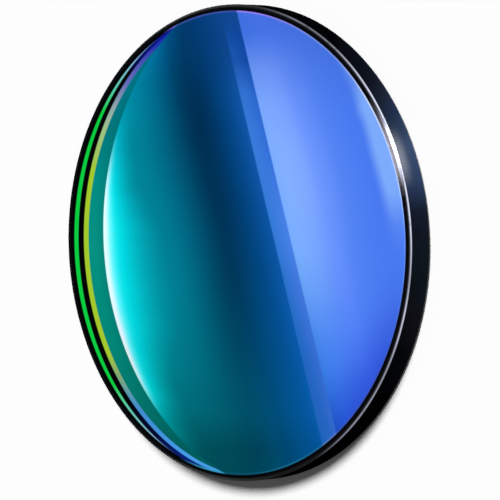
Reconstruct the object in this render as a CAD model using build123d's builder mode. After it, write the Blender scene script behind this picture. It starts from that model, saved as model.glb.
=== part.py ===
from build123d import *
import os

# Round optical bandpass filter, unmounted, lying on its rear face.
# The optical axis is +Z and the origin is the middle of the rear coating's outer face.

os.makedirs("parts", exist_ok=True)

# Overall sizes, in millimetres
filter_diameter = 50.4  # over the blackened rim
filter_thickness = 3.2  # between the outermost front and rear faces

# Glass edge
ground_bevel = 0.3  # leg of the 45 degree bevel ground on both edges

# Layers on the glass
front_stack_thickness = 0.03  # interference layers that pass the band
rear_stack_thickness = 0.03  # interference layers that block the rest
lacquer_thickness = 0.02  # black edge lacquer
lacquer_corner_radius = 0.06  # the wet lacquer rounds off over each edge of the bevels
black_ring_width = 0.35  # flat ring of lacquer from the bevel in to the coating

# The glass lies inside whichever layer stands out furthest on each side
glass_bottom = max(rear_stack_thickness, lacquer_thickness)
glass_top = filter_thickness - max(front_stack_thickness, lacquer_thickness)
glass_height = glass_top - glass_bottom
glass_radius = filter_diameter / 2 - lacquer_thickness
coating_radius = glass_radius - ground_bevel - black_ring_width

# Half section of the glass disc, from the optical axis out to the bevelled rim
with BuildSketch(Plane.XZ) as glass_section:
    with Locations((0, glass_bottom)):
        Rectangle(glass_radius, glass_height, align=(Align.MIN, Align.MIN))
    rim_corners = glass_section.vertices().group_by(Axis.X)[-1]
    chamfer(rim_corners, ground_bevel)

# Polished substrate
with BuildPart() as glass_substrate:
    revolve(glass_section.sketch, axis=Axis.Z)
glass_substrate.part.label = "glass_substrate"
export_step(glass_substrate.part, "parts/glass_substrate.step")

# Front interference stack, masked short of the edge
with BuildPart() as front_coating:
    with BuildSketch(Plane.XY.offset(glass_top)):
        Circle(coating_radius)
    extrude(amount=front_stack_thickness)
front_coating.part.label = "front_coating"
export_step(front_coating.part, "parts/front_coating.step")

# Rear interference stack
with BuildPart() as rear_coating:
    with BuildSketch(Plane.XY.offset(glass_bottom)):
        Circle(coating_radius)
    extrude(amount=-rear_stack_thickness)
rear_coating.part.label = "rear_coating"
export_step(rear_coating.part, "parts/rear_coating.step")

# Section of the lacquer: an even skin round the rim, from one coating's edge to the other's
with BuildSketch(Plane.XZ) as lacquer_section:
    add(glass_section.sketch_local)
    offset(amount=lacquer_thickness, kind=Kind.INTERSECTION)
    bevel_edges = lacquer_section.vertices().filter_by(lambda corner: corner.X > coating_radius)
    fillet(bevel_edges, lacquer_corner_radius)
    add(glass_section.sketch_local, mode=Mode.SUBTRACT)
    with Locations((coating_radius, 0)):
        Rectangle(
            filter_diameter,
            2 * filter_thickness,
            align=(Align.MIN, Align.CENTER),
            mode=Mode.INTERSECT,
        )

# Black edge lacquer over the rim, both bevels and the flat ring beside each coating
with BuildPart() as edge_blackening:
    revolve(lacquer_section.sketch, axis=Axis.Z)
edge_blackening.part.label = "edge_blackening"
export_step(edge_blackening.part, "parts/edge_blackening.step")
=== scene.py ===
import math

import bmesh
import bpy
from bpy.props import FloatProperty, FloatVectorProperty, IntProperty, PointerProperty
from mathutils import Matrix, Vector


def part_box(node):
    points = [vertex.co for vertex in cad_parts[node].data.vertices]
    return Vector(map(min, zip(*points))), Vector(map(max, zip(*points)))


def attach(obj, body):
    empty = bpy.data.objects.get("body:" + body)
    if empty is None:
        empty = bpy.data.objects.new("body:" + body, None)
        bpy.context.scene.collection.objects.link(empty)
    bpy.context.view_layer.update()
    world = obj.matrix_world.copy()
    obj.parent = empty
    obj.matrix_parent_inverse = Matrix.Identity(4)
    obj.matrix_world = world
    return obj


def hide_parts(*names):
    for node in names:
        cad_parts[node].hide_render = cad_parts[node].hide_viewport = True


bl_info = {
    "name": "Optical Bandpass Filter",
    "version": (1, 0, 0),
    "blender": (4, 5, 0),
    "location": "3D View > Sidebar > Filter",
    "description": "Dresses a round unmounted bandpass filter and sets up the studio round it",
    "category": "Object",
}

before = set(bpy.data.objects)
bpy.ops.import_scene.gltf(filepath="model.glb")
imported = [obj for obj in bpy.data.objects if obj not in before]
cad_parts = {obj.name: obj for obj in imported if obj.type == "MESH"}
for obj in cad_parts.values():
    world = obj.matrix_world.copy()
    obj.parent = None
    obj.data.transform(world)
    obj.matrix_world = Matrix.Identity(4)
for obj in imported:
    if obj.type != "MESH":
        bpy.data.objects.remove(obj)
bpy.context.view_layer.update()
COATING_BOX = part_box("front_coating")
LACQUER_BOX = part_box("edge_blackening")

MM = 0.001
FACE_HEIGHT = COATING_BOX[1].z
COATING_RADIUS = COATING_BOX[1].x
RIM_RADIUS = LACQUER_BOX[1].x

# Radii of the coating's edge and of the bevel's inner edge, in the shaders' millimetres
COATING_EDGE = COATING_RADIUS / MM
BEVEL_EDGE = RIM_RADIUS / MM - 0.32

# Directions on the face are named as the camera sees them: +X is up and -Y is to the right.
UP = Vector((1, 0, 0))
RIGHT = Vector((0, -1, 0))
AXIS = Vector((0, 0, 1))
# The coating's colour changes along the first of these. The panels' straight edges lie across the second.
HUE_ACROSS = RIGHT + 0.36 * UP
PANEL_ACROSS = RIGHT + 0.267 * UP


# Settings


class FilterSizes(bpy.types.PropertyGroup):
    """Sizes of the finish that the CAD solids don't hold."""

    lacquer_thickness: FloatProperty(
        name="Lacquer thickness",
        description="Thickness of the black lacquer on the rim, bevels and flat ring",
        default=0.02 * MM,
        unit="LENGTH",
    )
    bevel_leg: FloatProperty(
        name="Bevel leg",
        description="Leg of the 45 degree bevel ground on both edges of the glass",
        default=0.3 * MM,
        unit="LENGTH",
    )
    lacquer_corner: FloatProperty(
        name="Lacquer corner radius",
        description="Radius that the wet lacquer takes over each edge of a bevel",
        default=0.06 * MM,
        unit="LENGTH",
    )
    rim_segments: IntProperty(
        name="Rim segments",
        description="Steps in which the lacquer's section is turned round the axis",
        default=720,
        min=64,
    )


def colour(name, description, default):
    """A colour property, in linear values."""
    return FloatVectorProperty(
        name=name,
        description=description,
        default=default,
        subtype="COLOR",
        min=0.0,
        max=1.0,
    )


class FilterColours(bpy.types.PropertyGroup):
    """Colours of the layers on the glass, and of the reflections, highlights and sheen painted on them.
    """

    teal: colour("Teal", "Reflection of the coating at its teal side", (0.0005, 0.286, 0.325))
    petrol: colour("Petrol", "Reflection of the coating at its middle", (0.001, 0.124, 0.31))
    blue: colour("Blue", "Reflection of the coating at its blue side", (0.064, 0.188, 0.87))
    # The band and the two lines are painted reflections, of the coating outside the glow and of the
    # bevels seen through the glass.
    band: colour("Teal band", "Band between the glow and the lines", (0.002, 0.285, 0.225))
    green: colour("Green line", "The rear bevel, seen through the glass", (0.004, 0.61, 0.053))
    yellow: colour("Yellow line", "The front bevel, mirrored in the rear coating", (0.37, 0.59, 0.026))
    rear: colour("Rear coating", "Reflection of the rear coating", (0.04, 0.45, 0.4))
    glass: colour("Glass", "Tint of the polished glass", (0.86, 0.95, 0.93))
    lacquer: colour("Lacquer", "Black edge lacquer", (0.001, 0.0012, 0.002))
    # Painted blue sheen on the front bevel, at the picture's left.
    bevel_sheen: colour("Thin lacquer", "Lacquer drawn thin over the bevel", (0.008, 0.007, 0.036))
    # Painted highlight on the front bevel's outer corner and at its glint spot.
    bevel_highlight: colour("Worn bevel", "Bare ground glass on the bevel", (0.77, 0.8, 1.0))


class StudioSettings(bpy.types.PropertyGroup):
    """Camera, lamps and cards."""

    view_angle: FloatProperty(
        name="View angle",
        description="Angle between the optical axis and the line of sight",
        default=math.radians(43.65),
        subtype="ANGLE",
    )
    roll: FloatProperty(
        name="Roll",
        description="Lean of the upright disc in the picture",
        default=math.radians(2.2),
        subtype="ANGLE",
    )
    distance: FloatProperty(
        name="Camera distance",
        description="From the middle of the disc to the camera",
        default=371.1 * MM,
        unit="LENGTH",
    )
    focal_length: FloatProperty(
        name="Focal length",
        description="Focal length of the lens in millimetres, on a 36 mm sensor",
        default=252.0,
    )
    key_strength: FloatProperty(
        name="Key light",
        description="Strength of the soft key light, in watts per square metre",
        default=3.55,
    )
    sky_strength: FloatProperty(
        name="Sky",
        description="Strength of the surroundings as a light",
        default=0.05,
    )
    glint_angle: FloatProperty(
        name="Glint",
        description="Place of the glint on the bevel, from the right of the picture towards its top",
        default=math.radians(22),
        subtype="ANGLE",
    )
    card_height: FloatProperty(
        name="Card height",
        description="Height of the reflected softbox above the table",
        default=400 * MM,
        unit="LENGTH",
    )


# Shader nodes


class Sketch:
    """Adds nodes to a material from left to right. Its lengths are in millimetres."""

    def __init__(self, tree):
        self.tree = tree
        tree.nodes.clear()
        self.column = 0

    def node(self, kind, *inputs, **settings):
        made = self.tree.nodes.new(kind)
        made.location = (self.column * 180, 0)
        self.column += 1
        for name, value in settings.items():
            setattr(made, name, value)
        for socket, value in zip(made.inputs, inputs):
            self.feed(socket, value)
        return made

    def feed(self, socket, value):
        if isinstance(value, bpy.types.NodeSocket):
            self.tree.links.new(value, socket)
        elif value is not None:
            socket.default_value = value

    def math(self, operation, *values, clamp=False):
        return self.node("ShaderNodeMath", *values, operation=operation, use_clamp=clamp).outputs[0]

    def position(self):
        """The shaded point in the part's own frame."""
        coordinates = self.node("ShaderNodeTexCoord").outputs["Object"]
        scaled = self.node("ShaderNodeVectorMath", coordinates, operation="SCALE")
        scaled.inputs["Scale"].default_value = 1 / MM
        return scaled.outputs["Vector"]

    def along(self, point, direction):
        """How far a point lies along a direction."""
        return self.node(
            "ShaderNodeVectorMath", point, tuple(direction), operation="DOT_PRODUCT"
        ).outputs["Value"]

    def away(self, point, centre):
        """Distance of a point from a centre on the face, measured in the plane of the face."""
        flat = self.node("ShaderNodeVectorMath", point, (1, 1, 0), operation="MULTIPLY").outputs[0]
        return self.node(
            "ShaderNodeVectorMath", flat, tuple(centre), operation="DISTANCE"
        ).outputs["Value"]

    def from_axis(self, point):
        """Distance of a point from the optical axis."""
        return self.away(point, (0, 0, 0))

    def step(self, value, low, high):
        """0 below low, 1 above high, smooth in between."""
        made = self.node("ShaderNodeMapRange", value, interpolation_type="SMOOTHSTEP")
        made.inputs["From Min"].default_value = low
        made.inputs["From Max"].default_value = high
        return made.outputs["Result"]

    def ramp(self, value, stops, interpolation="LINEAR"):
        """A colour ramp over stops of (value, linear colour)."""
        low, high = stops[0][0], stops[-1][0]
        ranged = self.node("ShaderNodeMapRange", value)
        ranged.inputs["From Min"].default_value = low
        ranged.inputs["From Max"].default_value = high
        made = self.node("ShaderNodeValToRGB", ranged.outputs["Result"])
        made.color_ramp.interpolation = interpolation
        elements = made.color_ramp.elements
        while len(elements) < len(stops):
            elements.new(1.0)
        for element, (at, shade) in zip(elements, stops):
            element.position = (at - low) / (high - low)
            element.color = (*shade, 1.0)
        return made.outputs["Color"]

    def curve(self, value, points):
        """A smooth number through points of (value, number)."""
        numbers = [number for _, number in points]
        low, high = min(numbers), max(numbers)
        stops = [(at, ((number - low) / (high - low),) * 3) for at, number in points]
        grey = self.ramp(value, stops, "CARDINAL")
        made = self.node("ShaderNodeMapRange", grey)
        made.inputs["To Min"].default_value = low
        made.inputs["To Max"].default_value = high
        return made.outputs["Result"]

    def inside(self, point, circle, soft=0.06):
        """1 inside a circle of (x, y, radius) on the face, 0 outside it."""
        x, y, radius = circle
        return self.step(self.away(point, (x, y, 0)), radius + soft, radius - soft)

    def blend(self, factor, a, b, mode="MIX"):
        made = self.node("ShaderNodeMix", data_type="RGBA", blend_type=mode)
        self.feed(made.inputs["Factor"], factor)
        self.feed(made.inputs["A"], opaque(a))
        self.feed(made.inputs["B"], opaque(b))
        return made.outputs["Result"]

    def noise(self, point, scale, detail=3.0, distortion=0.0):
        made = self.node("ShaderNodeTexNoise", point)
        made.inputs["Scale"].default_value = scale
        made.inputs["Detail"].default_value = detail
        made.inputs["Distortion"].default_value = distortion
        return made.outputs["Fac"]

    def bump(self, height, distance, strength=1.0):
        made = self.node("ShaderNodeBump")
        made.inputs["Strength"].default_value = strength
        made.inputs["Distance"].default_value = distance
        self.feed(made.inputs["Height"], height)
        return made.outputs["Normal"]

    def surface(self, **inputs):
        """A Principled surface. Its inputs are named as on the node, with _ for a space."""
        shader = self.node("ShaderNodeBsdfPrincipled")
        for name, value in inputs.items():
            self.feed(shader.inputs[name.replace("_", " ")], opaque(value))
        self.output(shader)

    def output(self, shader):
        self.node("ShaderNodeOutputMaterial", shader.outputs[0])


def opaque(value):
    """A colour of three numbers with its alpha; anything else as it is."""
    if isinstance(value, bpy.types.NodeSocket) or not hasattr(value, "__len__"):
        return value
    return (*value, 1.0) if len(value) == 3 else value


def new_material(name):
    material = bpy.data.materials.new(name)
    material.use_nodes = True
    return material, Sketch(material.node_tree)


def dress(node, material):
    """Puts a material in place of all of a CAD node's own."""
    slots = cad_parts[node].material_slots
    for slot in slots:
        slot.material = material
    if not slots:
        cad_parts[node].data.materials.append(material)


def darker(shade, amount):
    return tuple(c * (1 - amount) for c in shade)


# Front coating


# Circles on the face as (x, y, radius) in millimetres: the edges of the two lines, which are painted
# reflections of the bevels, and of the glow, whose pale edge is a painted highlight
GREEN_OUTER = (0.0, -0.62, 24.53)
GREEN_INNER = (0.0, -1.8, 25.07)
YELLOW_OUTER = (0.09, -2.71, 25.1)
YELLOW_INNER = (0.1, -3.3, 24.95)
CRESCENT = (0.75, -7.75, 27.02)
BLACK = (0.001, 0.001, 0.002)


def glow_depth(sketch, point):
    """How far inside the crescent a point is, and the same stretched where the glow narrows."""
    x, y, radius = CRESCENT
    depth = sketch.math("SUBTRACT", radius, sketch.away(point, (x, y, 0)))
    narrow = sketch.curve(
        sketch.along(point, UP),
        [
            (-22, 5), (-18, 3), (-14, 2), (-10, 1.25), (-6, 1.03), (0, 1),
            (3, 1.15), (6, 1.7), (10, 2.6), (14, 4.5), (22, 6),
        ],
    )
    return depth, sketch.math("MULTIPLY", depth, narrow)


def coating_field(sketch, point, colours):
    """The coating's own reflection, from teal through petrol to blue across the face."""
    across = sketch.along(point, HUE_ACROSS)
    field = sketch.ramp(
        across,
        [
            (-16, colours.teal),
            (-8.7, (0.001, 0.23, 0.313)),
            (-4.4, (0.001, 0.174, 0.303)),
            (-0.7, colours.petrol),
            (3.3, (0.003, 0.12, 0.4)),
            (6, (0.012, 0.138, 0.52)),
            (9, (0.035, 0.168, 0.7)),
            (14, (0.06, 0.184, 0.84)),
            (21, colours.blue),
        ],
    )
    wiped = sketch.math("MULTIPLY", wipe_marks(sketch, point), sketch.step(across, 5, -3))
    wiped = sketch.ramp(wiped, [(0, (1, 1, 1)), (1, (0.76, 1.02, 0.93))])
    return sketch.blend(1.0, field, wiped, "MULTIPLY")


def wipe_marks(sketch, point):
    """Faint crossing hairlines and haze, as left by a cloth."""
    haze = sketch.step(sketch.noise(point, 0.35, 4.0, 1.5), 0.35, 0.75)
    marks = sketch.math("MULTIPLY", haze, 0.45)
    for angle, scale in ((47, 1.6), (-31, 1.2), (70, 0.9)):
        stretched = sketch.node("ShaderNodeMapping", point)
        stretched.inputs["Rotation"].default_value = (0, 0, math.radians(angle))
        stretched.inputs["Scale"].default_value = (0.08, 1, 1)
        threads = sketch.noise(stretched.outputs[0], scale, 5.0, 0.8)
        off_thread = sketch.math("ABSOLUTE", sketch.math("SUBTRACT", threads, 0.5))
        hairline = sketch.step(off_thread, 0.03, 0.0)
        marks = sketch.math("MAXIMUM", marks, sketch.math("MULTIPLY", hairline, 0.4))
    return marks


def green_line(sketch, height, colours):
    """The outer line, a painted reflection of the rear bevel seen through the glass: green for most of
    its length, and pale and then blue towards both ends.
    """
    return sketch.ramp(
        height,
        [
            (-23, (0.02, 0.1, 0.3)),
            (-20.5, (0.25, 0.5, 0.65)),
            (-17.5, (0.12, 0.6, 0.4)),
            (-15, colours.green),
            (15, colours.green),
            (17.5, (0.1, 0.6, 0.42)),
            (20, (0.25, 0.5, 0.75)),
            (23, (0.01, 0.03, 0.25)),
        ],
    )


def dark_gap(sketch, height):
    """The black between the two lines, a painted reflection of the black rim seen through the glass,
    which turns dark blue at both ends.
    """
    return sketch.ramp(
        height,
        [
            (-22.5, (0.003, 0.012, 0.17)),
            (-20.5, (0.001, 0.003, 0.03)),
            (-17, BLACK),
            (19, BLACK),
            (22.5, (0.004, 0.01, 0.26)),
        ],
    )


def yellow_line(sketch, height, colours):
    """The inner line, a painted reflection of the front bevel in the rear coating: yellow for most of its
    length, and grey and then blue towards both ends.
    """
    return sketch.ramp(
        height,
        [
            (-22.5, (0.06, 0.34, 0.8)),
            (-18, (0.05, 0.26, 0.66)),
            (-16.2, (0.087, 0.31, 0.46)),
            (-14, (0.22, 0.4, 0.17)),
            (-11.5, colours.yellow),
            (8.5, colours.yellow),
            (13, (0.34, 0.54, 0.24)),
            (15, (0.29, 0.41, 0.4)),
            (17.8, (0.127, 0.15, 0.48)),
            (21.5, (0.016, 0.032, 0.44)),
            (23.5, (0.003, 0.012, 0.35)),
        ],
    )


def teal_band(sketch, height, depth, colours):
    """The band between the yellow line and the crescent, painted as the coating's reflection outside the
    glow, with painted shade that makes it a little darker beside the crescent.
    """
    band = sketch.ramp(
        height,
        [
            (-22.5, (0.001, 0.1, 0.11)),
            (-17, (0.001, 0.175, 0.145)),
            (-10, (0.001, 0.24, 0.19)),
            (0, colours.band),
            (7.5, (0.001, 0.26, 0.235)),
            (13, (0.001, 0.187, 0.208)),
            (18, (0.001, 0.19, 0.27)),
            (22, (0.001, 0.14, 0.28)),
        ],
    )
    crescent_shade = sketch.math("MULTIPLY", sketch.step(depth, -1.6, 0.2), 0.3)
    return sketch.blend(crescent_shade, band, (0.0, 0.12, 0.1))


def painted_glow(sketch, height, glow):
    """The painted highlight that makes the coating pale along the crescent, where the glow is strongest.
    """
    pale = sketch.ramp(
        glow,
        [
            (0, (0.27, 0.28, 0.33)),
            (0.4, (0.25, 0.28, 0.33)),
            (0.7, (0.165, 0.28, 0.325)),
            (1.0, (0.08, 0.275, 0.325)),
            (1.3, (0.04, 0.27, 0.32)),
            (1.7, (0.014, 0.26, 0.32)),
            (2.2, (0.003, 0.2, 0.25)),
            (3, (0, 0, 0)),
        ],
    )
    amount = sketch.curve(
        height,
        [
            (-22, 0), (-18, 0.01), (-16, 0.2), (-14.5, 0.6), (-13, 0.85), (-10, 1), (3, 1),
            (6, 0.9), (8, 0.6), (10, 0.25), (12, 0.04), (14, 0),
        ],
    )
    return sketch.blend(1.0, pale, amount, "MULTIPLY")


def coating_colour(sketch, point, colours):
    """The whole pattern of the front coating, painted from its edge in towards the middle. Its lines, the
    gap and the band at the left are painted reflections, and the crescent's pale edge is a painted
    highlight.
    """
    height = sketch.along(point, UP)
    depth, glow = glow_depth(sketch, point)
    green = green_line(sketch, height, colours)
    face = sketch.blend(sketch.inside(point, GREEN_OUTER), BLACK, green)
    face = sketch.blend(sketch.inside(point, GREEN_INNER), face, dark_gap(sketch, height))
    yellow = yellow_line(sketch, height, colours)
    face = sketch.blend(sketch.inside(point, YELLOW_OUTER), face, yellow)
    band = teal_band(sketch, height, depth, colours)
    face = sketch.blend(sketch.inside(point, YELLOW_INNER), face, band)
    field = coating_field(sketch, point, colours)
    # The glow along the crescent is a painted highlight, lightened into the coating's colour.
    field = sketch.blend(1.0, field, painted_glow(sketch, height, glow), "LIGHTEN")
    face = sketch.blend(sketch.inside(point, CRESCENT), face, field)
    return edge_line(sketch, point, face)


def edge_line(sketch, point, face):
    """The thin pale line at the coating's very edge, everywhere but at its left."""
    rim = sketch.step(sketch.from_axis(point), COATING_EDGE - 0.23, COATING_EDGE - 0.11)
    side = sketch.step(sketch.along(point, RIGHT), -9, -5)
    line = sketch.ramp(
        sketch.along(point, UP),
        [
            (-24, (0.03, 0.3, 0.5)),
            (-22, (0.03, 0.2, 0.4)),
            (-18, (0.08, 0.17, 0.58)),
            (0, (0.11, 0.25, 0.96)),
            (14, (0.19, 0.33, 0.9)),
            (21, (0.19, 0.3, 0.86)),
            (24, (0.28, 0.22, 0.97)),
        ],
    )
    return sketch.blend(sketch.math("MULTIPLY", rim, side), face, line)


def front_coating_material(colours):
    """A hard bright mirror with the faintest haze in it."""
    material, sketch = new_material("bandpass_coating")
    point = sketch.position()
    shade = coating_colour(sketch, point, colours)
    smear = sketch.noise(point, 0.9, 4.0, 2.5)
    roughness = sketch.node("ShaderNodeMapRange", smear)
    roughness.inputs["To Min"].default_value = 0.002
    roughness.inputs["To Max"].default_value = 0.007
    sketch.surface(
        Base_Color=shade,
        Metallic=1.0,
        Roughness=roughness.outputs["Result"],
        Specular_Tint=(0.4, 0.4, 0.4),
    )
    return material


class FILTER_OT_front_coating(bpy.types.Operator):
    """Finish the front coating as a dichroic mirror that runs from teal to blue"""

    bl_idname = "bandpass_filter.front_coating"
    bl_label = "Front Coating"

    def execute(self, context):
        colours = context.scene.filter_colours
        dress("front_coating", front_coating_material(colours))
        return {"FINISHED"}


# Rear coating and glass


def rear_coating_material(colours):
    """A green mirror, deeper in colour towards its edge."""
    material, sketch = new_material("blocking_coating")
    point = sketch.position()
    shade = sketch.ramp(
        sketch.from_axis(point),
        [
            (0, tuple(colours.rear)),
            (18, darker(colours.rear, 0.25)),
            (24, (0.03, 0.3, 0.42)),
            (24.5, (0.02, 0.12, 0.3)),
        ],
    )
    smear = sketch.noise(point, 0.7, 4.0, 2.0)
    roughness = sketch.math("MULTIPLY_ADD", smear, 0.05, 0.02)
    sketch.surface(Base_Color=shade, Metallic=1.0, Roughness=roughness)
    return material


class FILTER_OT_rear_coating(bpy.types.Operator):
    """Finish the rear coating as a green mirror"""

    bl_idname = "bandpass_filter.rear_coating"
    bl_label = "Rear Coating"

    def execute(self, context):
        dress("rear_coating", rear_coating_material(context.scene.filter_colours))
        return {"FINISHED"}


def glass_material(colours):
    """Clear glass, polished on its faces and ground to a matt grain at its edge."""
    material, sketch = new_material("polished_glass")
    point = sketch.position()
    ground = sketch.step(sketch.from_axis(point), BEVEL_EDGE - 0.02, BEVEL_EDGE + 0.02)
    grain = sketch.noise(point, 12.0, 4.0)
    roughness = sketch.math("MULTIPLY", ground, sketch.math("MULTIPLY_ADD", grain, 0.3, 0.5))
    tint = sketch.blend(ground, tuple(colours.glass), (0.7, 0.76, 0.75))
    sketch.surface(
        Base_Color=tint, Roughness=roughness, Transmission_Weight=1.0, IOR=1.52
    )
    return material


class FILTER_OT_glass(bpy.types.Operator):
    """Finish the glass disc under the coatings"""

    bl_idname = "bandpass_filter.glass"
    bl_label = "Glass"

    def execute(self, context):
        dress("glass_substrate", glass_material(context.scene.filter_colours))
        return {"FINISHED"}


# Edge lacquer


def rounded(corners, radius, steps=5):
    """The corners of an open line of (r, z) points, rounded off at all but its ends."""
    line = [corners[0]]
    for before, corner, after in zip(corners, corners[1:], corners[2:]):
        towards = [(end - corner).normalized() for end in (before, after)]
        half = towards[0].angle(towards[1]) / 2
        reach = radius / math.tan(half)
        centre = corner + (towards[0] + towards[1]).normalized() * radius / math.sin(half)
        first = corner + towards[0] * reach - centre
        last = corner + towards[1] * reach - centre
        for i in range(steps + 1):
            spoke = first.lerp(last, i / steps)
            line.append(centre + spoke.normalized() * radius)
    line.append(corners[-1])
    return line


def lacquer_section(sizes):
    """The closed section of the lacquer, as (r, z) points: the outer skin, then the glass."""
    low, high = LACQUER_BOX[0].z, LACQUER_BOX[1].z
    skin, leg = sizes.lacquer_thickness, sizes.bevel_leg
    glass_radius = RIM_RADIUS - skin
    glass_low, glass_high = low + skin, high - skin
    # A skin of even thickness on a 45 degree bevel moves its two corners along by this much
    shift = skin * math.tan(math.radians(22.5))
    outer = [
        (COATING_RADIUS, low),
        (glass_radius - leg + shift, low),
        (RIM_RADIUS, glass_low + leg - shift),
        (RIM_RADIUS, glass_high - leg + shift),
        (glass_radius - leg + shift, high),
        (COATING_RADIUS, high),
    ]
    inner = [
        (COATING_RADIUS, glass_high),
        (glass_radius - leg, glass_high),
        (glass_radius, glass_high - leg),
        (glass_radius, glass_low + leg),
        (glass_radius - leg, glass_low),
        (COATING_RADIUS, glass_low),
    ]
    return rounded([Vector(p) for p in outer], sizes.lacquer_corner) + [Vector(p) for p in inner]


def turned(name, section, segments):
    """A closed section of (r, z) points turned once round the Z axis."""
    mesh = bpy.data.meshes.new(name)
    shape = bmesh.new()
    corners = [shape.verts.new((r, 0, z)) for r, z in section]
    edges = [shape.edges.new(pair) for pair in zip(corners, corners[1:] + corners[:1])]
    bmesh.ops.spin(
        shape,
        geom=corners + edges,
        axis=(0, 0, 1),
        cent=(0, 0, 0),
        angle=math.tau,
        steps=segments,
        use_merge=True,
    )
    bmesh.ops.recalc_face_normals(shape, faces=shape.faces)
    shape.to_mesh(mesh)
    shape.free()
    mesh.shade_smooth()
    mesh.set_sharp_from_angle(angle=math.radians(30))
    piece = bpy.data.objects.new(name, mesh)
    bpy.context.scene.collection.objects.link(piece)
    return piece


def rim_angle(sketch, point):
    """The angle round the rim in degrees, from the picture's right towards its top."""
    turn = sketch.math("ARCTAN2", sketch.along(point, UP), sketch.along(point, RIGHT))
    return sketch.math("DEGREES", turn)


def painted_bevel_highlight(sketch, point):
    """A painted highlight on the front bevel, which turns it into a pale metal mirror: a line along its
    outer corner, strongest where the highlight falls round the rim, and one glint spot.
    """
    height = sketch.along(point, AXIS)
    turn = rim_angle(sketch, point)
    line = sketch.curve(
        height,
        [(2.91, 0), (2.94, 0.8), (2.97, 1), (3.01, 0.85), (3.05, 0.3), (3.1, 0.05), (3.19, 0)],
    )
    round_rim = sketch.curve(
        turn,
        [
            (-78, 0), (-70, 0.01), (-62, 0.06), (-50, 0.36), (-30, 0.42), (-20, 0.75),
            (-10, 0.5), (0, 0.83), (10, 0.95), (22, 1), (35, 1),
            (45, 0.6), (55, 0.28), (66, 0.26), (76, 0.05), (86, 0.03),
        ],
    )
    patchy = sketch.step(sketch.noise(point, 1.2, 4.0), 0.1, 0.45)
    line = sketch.math("MULTIPLY", line, sketch.math("MULTIPLY", patchy, round_rim))
    glint_turns = sketch.curve(
        turn,
        [(9, 0), (12, 0.2), (15, 0.7), (18, 1), (23, 1), (27, 0.5), (31, 0.12), (35, 0)],
    )
    glint_spot = sketch.math("MULTIPLY", sketch.step(height, 2.86, 2.97), glint_turns)
    return sketch.math("MAXIMUM", line, glint_spot)


def painted_bevel_sheen(sketch, point):
    """Where a painted blue sheen lies on the front bevel, at the picture's left."""
    left = sketch.step(sketch.math("ABSOLUTE", rim_angle(sketch, point)), 115, 135)
    front = sketch.step(sketch.along(point, AXIS), 2.9, 3.0)
    bevel = sketch.step(sketch.from_axis(point), BEVEL_EDGE - 0.08, BEVEL_EDGE + 0.07)
    return sketch.math("MULTIPLY", sketch.math("MULTIPLY", left, front), bevel)


def lacquer_material(colours):
    """Gloss black, with a painted highlight on the outer corner of the front bevel and a painted blue
    sheen on the bevel at the picture's left.
    """
    material, sketch = new_material("edge_lacquer")
    point = sketch.position()
    highlight = painted_bevel_highlight(sketch, point)
    # Painted blue sheen on the bevel at the picture's left.
    shade = sketch.blend(painted_bevel_sheen(sketch, point), tuple(colours.lacquer), tuple(colours.bevel_sheen))
    # Painted highlight along the bevel's outer corner and at its glint.
    shade = sketch.blend(highlight, shade, tuple(colours.bevel_highlight))
    roughness = sketch.math("MULTIPLY_ADD", sketch.noise(point, 2.5, 5.0), 0.12, 0.16)
    sketch.surface(
        Base_Color=shade,
        Metallic=sketch.step(highlight, 0.0, 0.12),
        Roughness=roughness,
        Specular_IOR_Level=0.04,
        Normal=sketch.bump(sketch.noise(point, 4.0, 3.0), 0.001 * MM, 0.15),
    )
    return material


class FILTER_OT_edge_lacquer(bpy.types.Operator):
    """Turn the black edge lacquer from its section, with rounded corners"""

    bl_idname = "bandpass_filter.edge_lacquer"
    bl_label = "Edge Lacquer"

    def execute(self, context):
        sizes = context.scene.filter_sizes
        ring = turned("edge_lacquer_ring", lacquer_section(sizes), sizes.rim_segments)
        ring.data.materials.append(lacquer_material(context.scene.filter_colours))
        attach(ring, "root")
        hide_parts("edge_blackening")
        return {"FINISHED"}


# Studio


def camera_axes(studio):
    """The camera's right, up and back directions, and its place."""
    lean = studio.view_angle
    back = Vector((0, -math.sin(lean), math.cos(lean)))
    level = Vector((0, -math.cos(lean), -math.sin(lean)))
    right = math.cos(studio.roll) * level - math.sin(studio.roll) * UP
    up = math.sin(studio.roll) * level + math.cos(studio.roll) * UP
    middle = Vector((0, 0, FACE_HEIGHT / 2))
    shift_right, shift_up = 0.966 * MM, -0.777 * MM
    place = middle + studio.distance * back + shift_right * right + shift_up * up
    return right, up, back, place


def add_camera(studio):
    right, up, back, place = camera_axes(studio)
    data = bpy.data.cameras.new("filter_camera")
    data.sensor_width = 36.0
    data.lens = studio.focal_length
    data.clip_start = 0.01
    data.clip_end = 20.0
    camera = bpy.data.objects.new("filter_camera", data)
    turn = Matrix((right, up, back)).transposed().to_4x4()
    camera.matrix_world = Matrix.Translation(place) @ turn
    bpy.context.scene.collection.objects.link(camera)
    bpy.context.scene.camera = camera


def seen_directly(sketch):
    """1 for rays from the camera and for those mirrored or let through to the background."""
    path = sketch.node("ShaderNodeLightPath")
    seen = sketch.math("ADD", path.outputs["Is Camera Ray"], path.outputs["Is Glossy Ray"])
    return sketch.math("ADD", seen, path.outputs["Is Transmission Ray"], clamp=True)


def add_sky(studio):
    """White where it is seen, and a soft bluish light elsewhere."""
    world = bpy.data.worlds.new("studio_sky")
    world.use_nodes = True
    bpy.context.scene.world = world
    sketch = Sketch(world.node_tree)
    light = sketch.node("ShaderNodeBackground", (0.85, 0.95, 1.1, 1), studio.sky_strength)
    white = sketch.node("ShaderNodeBackground", (1, 1, 1, 1), 1.0)
    mixed = sketch.node(
        "ShaderNodeMixShader", seen_directly(sketch), light.outputs[0], white.outputs[0]
    )
    sketch.node("ShaderNodeOutputWorld", mixed.outputs[0])


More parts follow.
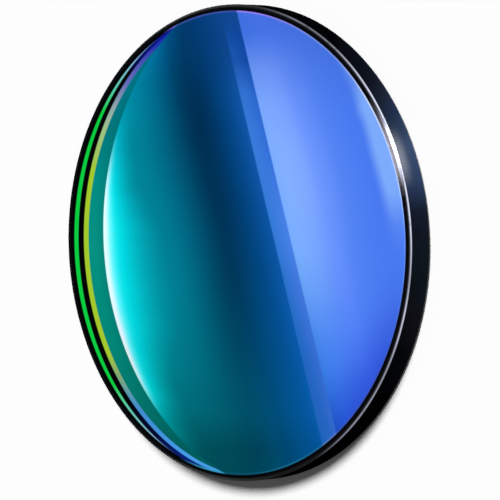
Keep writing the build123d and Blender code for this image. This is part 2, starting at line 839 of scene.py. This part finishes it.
def flat_piece(name, corners):
    mesh = bpy.data.meshes.new(name)
    mesh.from_pydata(corners, [], [range(len(corners))])
    return staged(name, mesh)


def staged(name, mesh):
    """A mesh set up as a part of the stage."""
    piece = bpy.data.objects.new(name, mesh)
    bpy.context.scene.collection.objects.link(piece)
    return piece


def square(half, height):
    """The corners of a level square that faces up."""
    return [(half * x, half * y, height) for x, y in ((-1, -1), (1, -1), (1, 1), (-1, 1))]


def add_floor():
    """A white table, which keeps the shadow of the filter."""
    reach, drop = 3.0, -0.02 * MM
    floor = flat_piece("table", square(reach, drop))
    material, sketch = new_material("white_table")
    diffuse = sketch.node("ShaderNodeBsdfDiffuse", (0.95, 0.95, 0.95, 1))
    # A trace of light, which falls on nothing else, makes up for what the lamps leave short of white
    strength = sketch.math("MULTIPLY", seen_directly(sketch), 0.038)
    lift = sketch.node("ShaderNodeEmission", (1.0, 0.9, 0.8, 1), strength)
    sketch.output(sketch.node("ShaderNodeAddShader", diffuse.outputs[0], lift.outputs[0]))
    floor.data.materials.append(material)


def only_mirrored(card):
    """A card that shows in reflections and nowhere else."""
    card.visible_camera = False
    card.visible_diffuse = False
    card.visible_transmission = False
    card.visible_volume_scatter = False
    card.visible_shadow = False


CARD_GAIN = 5.0
# The softbox ends just outside the coating's edge. Its strip and right panel fade in over these widths.
CARD_OUTLINE = (0, 0, COATING_EDGE + 0.12)
STRIP_EDGE = (6.28, 6.5)
PANEL_EDGE = (8.63, 8.82)


def lit(*levels):
    """Levels of light as ramp colours, which stay below 1."""
    return tuple(level / CARD_GAIN for level in levels)


def left_panel(sketch, point):
    """Light from the left panel: full at the far left, down to a dark gap, then rising again."""
    height = sketch.along(point, UP)
    gap = sketch.curve(
        height,
        [
            (-22, 2), (-18, 1.6), (-14, 1.2), (-6, 0.3), (-2, -0.1), (2, -0.7),
            (6, -1.8), (10, -3), (14, -4), (18, -5), (22, -5.5),
        ],
    )
    across = sketch.math("SUBTRACT", sketch.along(point, RIGHT), gap)
    left = sketch.curve(
        across,
        [
            (-20, 0.76), (-14, 0.74), (-10, 0.66), (-8, 0.56), (-6.5, 0.46),
            (-5, 0.33), (-3, 0.15), (-1, 0.02), (1, 0),
        ],
    )
    right = sketch.curve(across, [(-1, 0), (1, 0.03), (3, 0.15), (5, 0.27), (7, 0.39), (10, 0.5)])
    dark = sketch.curve(
        height,
        [
            (-22, 0.3), (-18, 0.45), (-14, 0.44), (-6, 0.35), (2, 0.3),
            (10, 0.26), (14, 0.245), (18, 0.31), (22, 0.37),
        ],
    )
    left_gain = sketch.curve(
        height,
        [
            (-22, 0), (-18, 0.18), (-14, 0.45), (-6, 0.9), (2, 1),
            (10, 1.08), (14, 1.3), (18, 1.5), (20, 2), (22, 2.6),
        ],
    )
    right_gain = sketch.curve(
        height,
        [(-22, 0.85), (-14, 0.8), (-7, 0.95), (14, 1.05), (18, 0.5), (22, 0.05)],
    )
    level = sketch.math("MULTIPLY_ADD", left, left_gain, dark)
    level = sketch.math("MULTIPLY_ADD", right, right_gain, level)
    return sketch.blend(1.0, level, lit(0.4, 0.95, 1.03), "MULTIPLY")


def glow_light(sketch, point):
    """The extra light that makes the crescent's inside glow, less blue towards the bottom."""
    height = sketch.along(point, UP)
    _, glow = glow_depth(sketch, point)
    level = sketch.curve(
        glow,
        [
            (0, 2.6), (1, 2.4), (2, 1.85), (3, 1.45), (4, 1.05), (5, 0.72),
            (6, 0.47), (7, 0.27), (8, 0.12), (9.5, 0), (12, 0),
        ],
    )
    amount = sketch.curve(
        height,
        [
            (-23, 0), (-20.7, 0.12), (-18.7, 0.27), (-17.3, 0.5), (-16, 0.85), (-14, 1), (5, 1),
            (8, 0.82), (10, 0.55), (11.6, 0.34), (13.4, 0.16), (15, 0.02), (17, 0),
        ],
    )
    tint = sketch.ramp(
        height,
        [
            (-20, (1, 0.8, 0.72)),
            (-12, (1, 0.84, 0.75)),
            (-6.5, (1, 0.93, 0.855)),
            (0, (1, 1, 0.9)),
            (8, (1, 1, 0.9)),
            (14, (1, 1, 0.95)),
        ],
    )
    level = sketch.math("DIVIDE", sketch.math("MULTIPLY", level, amount), CARD_GAIN)
    return sketch.blend(1.0, tint, level, "MULTIPLY")


def right_panel(sketch, point):
    """Light from the right panel: even, with a pale haze beside its edge and a dim lower corner."""
    height = sketch.along(point, UP)
    across = sketch.along(point, PANEL_ACROSS)
    even = sketch.ramp(
        across,
        [
            (8.8, lit(1.12, 1.1, 1.24)),
            (14, lit(1.1, 1.07, 1.13)),
            (18, lit(1.06, 1.05, 1.05)),
            (22, lit(1.03, 1.03, 1.01)),
        ],
    )
    dim = sketch.curve(height, [(4, 1), (10, 1), (14, 0.96), (18, 0.88), (22, 0.8), (24, 0.78)])
    even = sketch.blend(1.0, even, dim, "MULTIPLY")
    light = sketch.blend(1.0, even, panel_haze(sketch, height, across), "ADD")
    outward = sketch.step(sketch.from_axis(point), 18, 26)
    corner = sketch.math("MULTIPLY", outward, sketch.step(height, -2, -14))
    corner = sketch.ramp(corner, [(0, (1, 1, 1)), (1, (0.4, 0.4, 0.75))])
    return sketch.blend(1.0, light, corner, "MULTIPLY")


def panel_haze(sketch, height, across):
    """The pale haze just inside the right panel's straight edge, strongest halfway up."""
    shift = sketch.curve(
        height,
        [(-12, 1.8), (-6.5, 1.2), (0, 0.6), (5, 0), (11, 0.3), (16, 0.7), (22, 0.8)],
    )
    haze = sketch.ramp(
        sketch.math("ADD", across, shift),
        [
            (8.8, lit(4.3, 1.42, 0.17)),
            (10, lit(4.1, 1.42, 0.17)),
            (11, lit(3.65, 1.31, 0.16)),
            (12, lit(3.0, 1.19, 0.13)),
            (13, lit(2.4, 1.02, 0.1)),
            (14, lit(1.75, 0.76, 0.07)),
            (15, lit(1.3, 0.56, 0.05)),
            (16, lit(1.0, 0.44, 0.04)),
            (17, lit(0.6, 0.3, 0.02)),
            (18, lit(0.35, 0.19, 0)),
            (20, lit(0.1, 0.06, 0)),
            (22, lit(0, 0, 0)),
        ],
    )
    amount = sketch.curve(
        height,
        [
            (-18, 0.05), (-14, 0.12), (-10, 0.33), (-6.5, 0.63), (-2, 0.95), (2, 1),
            (7, 1), (11.5, 0.92), (15.5, 0.74), (19, 0.4), (22, 0.05),
        ],
    )
    return sketch.blend(1.0, haze, amount, "MULTIPLY")


def edge_strip(sketch, point):
    """The strip of light beside the right panel's straight edge, falling off towards it at the top."""
    height = sketch.along(point, UP)
    across = sketch.along(point, PANEL_ACROSS)
    light = sketch.ramp(
        height,
        [
            (-20, lit(1.8, 0.95, 1.06)),
            (-13, lit(1.6, 0.99, 1.07)),
            (-6.5, lit(1.85, 1.13, 1.12)),
            (0, lit(2.03, 1.33, 1.2)),
            (6, lit(1.8, 1.32, 1.18)),
            (11.5, lit(1.6, 1.27, 1.12)),
            (15.5, lit(1.16, 1.1, 1.0)),
            (19, lit(0.34, 0.57, 0.63)),
            (22, lit(0.2, 0.5, 0.6)),
        ],
    )
    fall = sketch.ramp(across, [(6.6, (1, 1, 1)), (8.5, (0.5, 0.71, 0.83))])
    fallen = sketch.blend(1.0, light, fall, "MULTIPLY")
    return sketch.blend(sketch.step(height, 0, 12), light, fallen)


def halo(sketch, point):
    """Where a pale band follows the rim, from the picture's right up towards its top."""
    turn = rim_angle(sketch, point)
    start = sketch.curve(
        turn,
        [
            (-5, 22), (5, 21.6), (15, 21.3), (20, 21.3), (25, 21.5),
            (30, 21.9), (35, 22.2), (40, 22.9), (45, 23.3), (50, 24),
        ],
    )
    strength = sketch.curve(
        turn,
        [
            (-9, 0), (-2, 0.06), (4, 0.32), (10, 0.85), (15, 1.05), (25, 1.05),
            (35, 1), (40, 0.6), (45, 0.35), (50, 0.12), (56, 0),
        ],
    )
    depth = sketch.math("SUBTRACT", sketch.from_axis(point), start)
    return sketch.math("MULTIPLY", strength, sketch.step(depth, 0, 1.8))


def softbox_material():
    """Two lit panels with a dark gap between them. The right one has a doubled straight edge."""
    material, sketch = new_material("softbox_panels")
    point = sketch.position()
    height = sketch.along(point, UP)
    across = sketch.along(point, PANEL_ACROSS)

    light = sketch.blend(1.0, left_panel(sketch, point), glow_light(sketch, point), "ADD")
    strip = sketch.math("MULTIPLY", sketch.step(across, *STRIP_EDGE), sketch.step(height, 24, 20))
    light = sketch.blend(strip, light, edge_strip(sketch, point))
    light = sketch.blend(sketch.step(across, *PANEL_EDGE), light, right_panel(sketch, point))
    light = sketch.blend(sketch.inside(point, CRESCENT), lit(1, 1, 1), light)

    light = sketch.blend(halo(sketch, point), light, lit(2.2, 1.15, 0.12), "ADD")
    light = sketch.blend(sketch.inside(point, CARD_OUTLINE, 0.04), (0, 0, 0), light)
    sketch.output(sketch.node("ShaderNodeEmission", light, CARD_GAIN))
    return material


def add_softbox(studio):
    """The softbox that the face mirrors. Its own coordinates are those of the face point showing it."""
    place = camera_axes(studio)[3]
    mirrored = Vector((place.x, place.y, 2 * FACE_HEIGHT - place.z))
    scale = (studio.card_height - mirrored.z) / (FACE_HEIGHT - mirrored.z)
    half = 60 * MM
    card = flat_piece("softbox", square(half, FACE_HEIGHT)[::-1])
    card.matrix_world = Matrix.Translation(mirrored * (1 - scale)) @ Matrix.Scale(scale, 4)
    card.data.materials.append(softbox_material())
    only_mirrored(card)


def rim_point(turn, radius, height):
    """A point by its angle round the rim, from the picture's right towards its top."""
    return Vector((radius * math.sin(turn), -radius * math.cos(turn), height))


def glint_material():
    """A round white light with a soft edge."""
    material, sketch = new_material("glint_lamp")
    from_middle = sketch.away(sketch.position(), (0, 0, 0))
    disc = sketch.step(from_middle, 28, 8)
    strength = sketch.math("MULTIPLY", disc, 12.0)
    sketch.output(sketch.node("ShaderNodeEmission", (1, 1, 1, 1), strength))
    return material


def add_glint(studio):
    """A small bright lamp, placed where the front bevel mirrors it into the camera."""
    turn = studio.glint_angle
    bevel = rim_point(turn, RIM_RADIUS - 0.15 * MM, FACE_HEIGHT - 0.2 * MM)
    normal = rim_point(turn, 1, 1).normalized()
    to_camera = (camera_axes(studio)[3] - bevel).normalized()
    towards = 2 * normal.dot(to_camera) * normal - to_camera
    half, distance = 30 * MM, 300 * MM
    card = flat_piece("glint", square(half, 0))
    facing = towards.to_track_quat("-Z", "Y").to_matrix().to_4x4()
    card.matrix_world = Matrix.Translation(bevel + towards * distance) @ facing
    card.data.materials.append(glint_material())
    only_mirrored(card)


def apron_material():
    """Black, with a bluish light towards the glint and one white patch in the middle of it."""
    material, sketch = new_material("apron_card")
    point = sketch.position()
    turn = rim_angle(sketch, point)
    light = sketch.ramp(
        turn,
        [
            (-42, (0, 0, 0)),
            (-30, (0.003, 0.004, 0.006)),
            (-20, (0.016, 0.016, 0.023)),
            (-10, (0.013, 0.028, 0.042)),
            (0, (0.024, 0.036, 0.063)),
            (6, (0.03, 0.05, 0.1)),
            (11, (0.08, 0.15, 0.36)),
            (16, (0.12, 0.22, 0.5)),
            (22, (0.14, 0.24, 0.5)),
            (26, (0.08, 0.14, 0.3)),
            (31, (0.034, 0.07, 0.17)),
            (36, (0.022, 0.036, 0.072)),
            (41, (0.009, 0.0125, 0.026)),
            (47, (0.003, 0.0045, 0.009)),
            (58, (0, 0, 0)),
        ],
    )
    patch = sketch.curve(turn, [(12, 0), (16, 0.6), (19, 1), (23, 0.85), (27, 0.2), (31, 0)])
    patch = sketch.math("MULTIPLY", patch, sketch.step(sketch.from_axis(point), 26.2, 27.8))
    light = sketch.blend(patch, light, (1.0, 1.0, 1.0), "ADD")
    sketch.output(sketch.node("ShaderNodeEmission", light, 30.0))
    return material


def add_apron():
    """A ring of card flat on the table, which the wall of the rim mirrors."""
    inner, outer, height = RIM_RADIUS + 0.02 * MM, RIM_RADIUS + 8 * MM, 0.02 * MM
    count = 180
    turns = [math.tau * i / count for i in range(count)]
    corners = [rim_point(turn, radius, height) for radius in (inner, outer) for turn in turns]
    faces = [(i, (i + 1) % count, count + (i + 1) % count, count + i) for i in range(count)]
    mesh = bpy.data.meshes.new("apron")
    mesh.from_pydata(corners, [], faces)
    card = staged("apron", mesh)
    card.data.materials.append(apron_material())
    only_mirrored(card)


def add_key_light(studio):
    """The soft light from above the picture's top, which throws the shadow below the disc."""
    towards = Vector((1.65, -1.15, 3.2))
    data = bpy.data.lights.new("key_light", "SUN")
    data.energy = studio.key_strength
    data.angle = math.radians(20)
    lamp = bpy.data.objects.new("key_light", data)
    lamp.matrix_world = towards.to_track_quat("Z", "Y").to_matrix().to_4x4()
    lamp.visible_glossy = False
    bpy.context.scene.collection.objects.link(lamp)


class FILTER_OT_studio(bpy.types.Operator):
    """Set up the table, the surroundings, the lights, the mirrored cards and the camera"""

    bl_idname = "bandpass_filter.studio"
    bl_label = "Studio"

    def execute(self, context):
        studio = context.scene.filter_studio
        add_camera(studio)
        add_sky(studio)
        add_floor()
        add_softbox(studio)
        add_glint(studio)
        add_apron()
        add_key_light(studio)
        context.scene.view_settings.view_transform = "Standard"
        return {"FINISHED"}


# Panel


OPERATORS = (
    FILTER_OT_front_coating,
    FILTER_OT_rear_coating,
    FILTER_OT_glass,
    FILTER_OT_edge_lacquer,
    FILTER_OT_studio,
)


class FILTER_PT_panel(bpy.types.Panel):
    """Lists the filter's pieces and settings"""

    bl_label = "Bandpass Filter"
    bl_space_type = "VIEW_3D"
    bl_region_type = "UI"
    bl_category = "Filter"

    def draw(self, context):
        layout = self.layout
        for operator in OPERATORS:
            layout.operator(operator.bl_idname)
        for group in (
            context.scene.filter_sizes,
            context.scene.filter_colours,
            context.scene.filter_studio,
        ):
            box = layout.box()
            for name in type(group).__annotations__:
                box.prop(group, name)


GROUPS = {
    "filter_sizes": FilterSizes,
    "filter_colours": FilterColours,
    "filter_studio": StudioSettings,
}


def register():
    for cls in (*GROUPS.values(), *OPERATORS, FILTER_PT_panel):
        bpy.utils.register_class(cls)
    for name, group in GROUPS.items():
        setattr(bpy.types.Scene, name, PointerProperty(type=group))


def unregister():
    for name in GROUPS:
        delattr(bpy.types.Scene, name)
    for cls in reversed((*GROUPS.values(), *OPERATORS, FILTER_PT_panel)):
        bpy.utils.unregister_class(cls)


def main():
    register()
    bpy.ops.bandpass_filter.front_coating()
    bpy.ops.bandpass_filter.rear_coating()
    bpy.ops.bandpass_filter.glass()
    bpy.ops.bandpass_filter.edge_lacquer()
    bpy.ops.bandpass_filter.studio()


if __name__ == "__main__":
    main()
